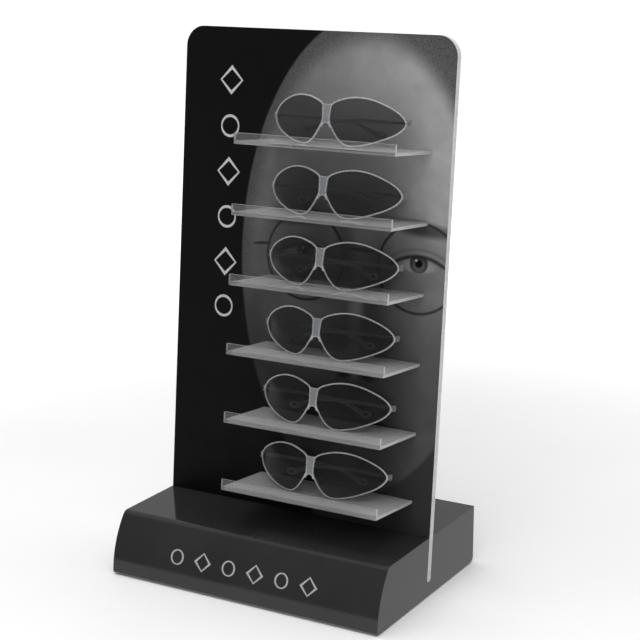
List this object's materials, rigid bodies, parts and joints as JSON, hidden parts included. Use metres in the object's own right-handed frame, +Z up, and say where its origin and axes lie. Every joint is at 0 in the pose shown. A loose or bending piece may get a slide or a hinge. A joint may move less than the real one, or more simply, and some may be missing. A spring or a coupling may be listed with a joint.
{
  "type": "eyeglass display rack",
  "caption": "Countertop eyeglass display: a weighted black base, a leaning printed panel, clear lipped shelves and sunglasses that lift off them.",
  "frame": {"origin": "bottom centre of the base, on the surface it stands on", "axes": "+X to the rack's right as seen from the front, +Y to the back, +Z up"},
  "size_m": [0.3, 0.2095, 0.5359],
  "materials": {
    "base_black": "gloss lacquer",
    "plate_black": "fine moulded texture",
    "ballast_steel": "mill finish",
    "foot_rubber": "matt",
    "screw_steel": "zinc plated",
    "graphic_print": "satin print on a white sheet",
    "backing_black": "satin film on a white sheet",
    "clear_acrylic": "polished clear acrylic",
    "rim_metal": "fine brushed",
    "smoke_lens": "dark smoke, polished",
    "temple_metal": "satin dark grey"
  },
  "bodies": {
    "base": {"base_housing": "base_black", "bottom_plate": "plate_black", "front_ballast_bar": "ballast_steel", "rear_ballast_bar": "ballast_steel", "rubber_foot_front_left": "foot_rubber", "rubber_foot_front_right": "foot_rubber", "rubber_foot_rear_left": "foot_rubber", "rubber_foot_rear_right": "foot_rubber", "plate_screw_front_left": "screw_steel", "plate_screw_front_right": "screw_steel", "plate_screw_rear_left": "screw_steel", "plate_screw_rear_right": "screw_steel"},
    "panel": {"graphic_sheet": "graphic_print", "backing_sheet": "backing_black", "shelf_1_plate": "clear_acrylic", "shelf_1_lip": "clear_acrylic", "shelf_2_plate": "clear_acrylic", "shelf_2_lip": "clear_acrylic", "shelf_3_plate": "clear_acrylic", "shelf_3_lip": "clear_acrylic", "shelf_4_plate": "clear_acrylic", "shelf_4_lip": "clear_acrylic", "shelf_5_plate": "clear_acrylic", "shelf_5_lip": "clear_acrylic", "shelf_6_plate": "clear_acrylic", "shelf_6_lip": "clear_acrylic"},
    "eyewear_1": {"eyewear_1_front": "rim_metal", "eyewear_1_left_lens": "smoke_lens", "eyewear_1_right_lens": "smoke_lens"},
    "eyewear_1_left_temple": {"eyewear_1_left_temple": "temple_metal"},
    "eyewear_1_right_temple": {"eyewear_1_right_temple": "temple_metal"},
    "eyewear_2": {"eyewear_2_front": "rim_metal", "eyewear_2_left_lens": "smoke_lens", "eyewear_2_right_lens": "smoke_lens"},
    "eyewear_2_left_temple": {"eyewear_2_left_temple": "temple_metal"},
    "eyewear_2_right_temple": {"eyewear_2_right_temple": "temple_metal"},
    "eyewear_3": {"eyewear_3_front": "rim_metal", "eyewear_3_left_lens": "smoke_lens", "eyewear_3_right_lens": "smoke_lens"},
    "eyewear_3_left_temple": {"eyewear_3_left_temple": "temple_metal"},
    "eyewear_3_right_temple": {"eyewear_3_right_temple": "temple_metal"},
    "eyewear_4": {"eyewear_4_front": "rim_metal", "eyewear_4_left_lens": "smoke_lens", "eyewear_4_right_lens": "smoke_lens"},
    "eyewear_4_left_temple": {"eyewear_4_left_temple": "temple_metal"},
    "eyewear_4_right_temple": {"eyewear_4_right_temple": "temple_metal"},
    "eyewear_5": {"eyewear_5_front": "rim_metal", "eyewear_5_left_lens": "smoke_lens", "eyewear_5_right_lens": "smoke_lens"},
    "eyewear_5_left_temple": {"eyewear_5_left_temple": "temple_metal"},
    "eyewear_5_right_temple": {"eyewear_5_right_temple": "temple_metal"},
    "eyewear_6": {"eyewear_6_front": "rim_metal", "eyewear_6_left_lens": "smoke_lens", "eyewear_6_right_lens": "smoke_lens"},
    "eyewear_6_left_temple": {"eyewear_6_left_temple": "temple_metal"},
    "eyewear_6_right_temple": {"eyewear_6_right_temple": "temple_metal"}
  },
  "joints": [
    {"name": "panel_lift", "type": "slide", "parent": "base", "child": "panel", "axis": [0, 0.0919, 0.9958], "range_m": [0, 0.045]},
    {"name": "eyewear_1_lift", "type": "slide", "parent": "panel", "child": "eyewear_1", "axis": [0, -0.8888, 0.4582], "range_m": [0, 0.085]},
    {"name": "eyewear_1_left_hinge", "type": "hinge", "parent": "eyewear_1", "child": "eyewear_1_left_temple", "pos_m": [-0.03, 0.01992, 0.45574], "axis": [0, 0.1573, 0.9875], "range_deg": [0, 2]},
    {"name": "eyewear_1_right_hinge", "type": "hinge", "parent": "eyewear_1", "child": "eyewear_1_right_temple", "pos_m": [0.114, 0.01992, 0.45574], "axis": [0, -0.1573, -0.9875], "range_deg": [0, 2]},
    {"name": "eyewear_2_lift", "type": "slide", "parent": "panel", "child": "eyewear_2", "axis": [0, -0.8888, 0.4582], "range_m": [0, 0.085]},
    {"name": "eyewear_2_left_hinge", "type": "hinge", "parent": "eyewear_2", "child": "eyewear_2_left_temple", "pos_m": [-0.03, 0.01373, 0.38863], "axis": [0, 0.1573, 0.9875], "range_deg": [0, 2]},
    {"name": "eyewear_2_right_hinge", "type": "hinge", "parent": "eyewear_2", "child": "eyewear_2_right_temple", "pos_m": [0.114, 0.01373, 0.38863], "axis": [0, -0.1573, -0.9875], "range_deg": [0, 2]},
    {"name": "eyewear_3_lift", "type": "slide", "parent": "panel", "child": "eyewear_3", "axis": [0, -0.8888, 0.4582], "range_m": [0, 0.085]},
    {"name": "eyewear_3_left_hinge", "type": "hinge", "parent": "eyewear_3", "child": "eyewear_3_left_temple", "pos_m": [-0.03, 0.00754, 0.32151], "axis": [0, 0.1573, 0.9875], "range_deg": [0, 2]},
    {"name": "eyewear_3_right_hinge", "type": "hinge", "parent": "eyewear_3", "child": "eyewear_3_right_temple", "pos_m": [0.114, 0.00754, 0.32151], "axis": [0, -0.1573, -0.9875], "range_deg": [0, 2]},
    {"name": "eyewear_4_lift", "type": "slide", "parent": "panel", "child": "eyewear_4", "axis": [0, -0.8888, 0.4582], "range_m": [0, 0.085]},
    {"name": "eyewear_4_left_hinge", "type": "hinge", "parent": "eyewear_4", "child": "eyewear_4_left_temple", "pos_m": [-0.03, 0.00134, 0.2544], "axis": [0, 0.1573, 0.9875], "range_deg": [0, 2]},
    {"name": "eyewear_4_right_hinge", "type": "hinge", "parent": "eyewear_4", "child": "eyewear_4_right_temple", "pos_m": [0.114, 0.00134, 0.2544], "axis": [0, -0.1573, -0.9875], "range_deg": [0, 2]},
    {"name": "eyewear_5_lift", "type": "slide", "parent": "panel", "child": "eyewear_5", "axis": [0, -0.8888, 0.4582], "range_m": [0, 0.085]},
    {"name": "eyewear_5_left_hinge", "type": "hinge", "parent": "eyewear_5", "child": "eyewear_5_left_temple", "pos_m": [-0.03, -0.00485, 0.18728], "axis": [0, 0.1573, 0.9875], "range_deg": [0, 2]},
    {"name": "eyewear_5_right_hinge", "type": "hinge", "parent": "eyewear_5", "child": "eyewear_5_right_temple", "pos_m": [0.114, -0.00485, 0.18728], "axis": [0, -0.1573, -0.9875], "range_deg": [0, 2]},
    {"name": "eyewear_6_lift", "type": "slide", "parent": "panel", "child": "eyewear_6", "axis": [0, -0.8888, 0.4582], "range_m": [0, 0.085]},
    {"name": "eyewear_6_left_hinge", "type": "hinge", "parent": "eyewear_6", "child": "eyewear_6_left_temple", "pos_m": [-0.03, -0.01104, 0.12017], "axis": [0, 0.1573, 0.9875], "range_deg": [0, 2]},
    {"name": "eyewear_6_right_hinge", "type": "hinge", "parent": "eyewear_6", "child": "eyewear_6_right_temple", "pos_m": [0.114, -0.01104, 0.12017], "axis": [0, -0.1573, -0.9875], "range_deg": [0, 2]}
  ]
}
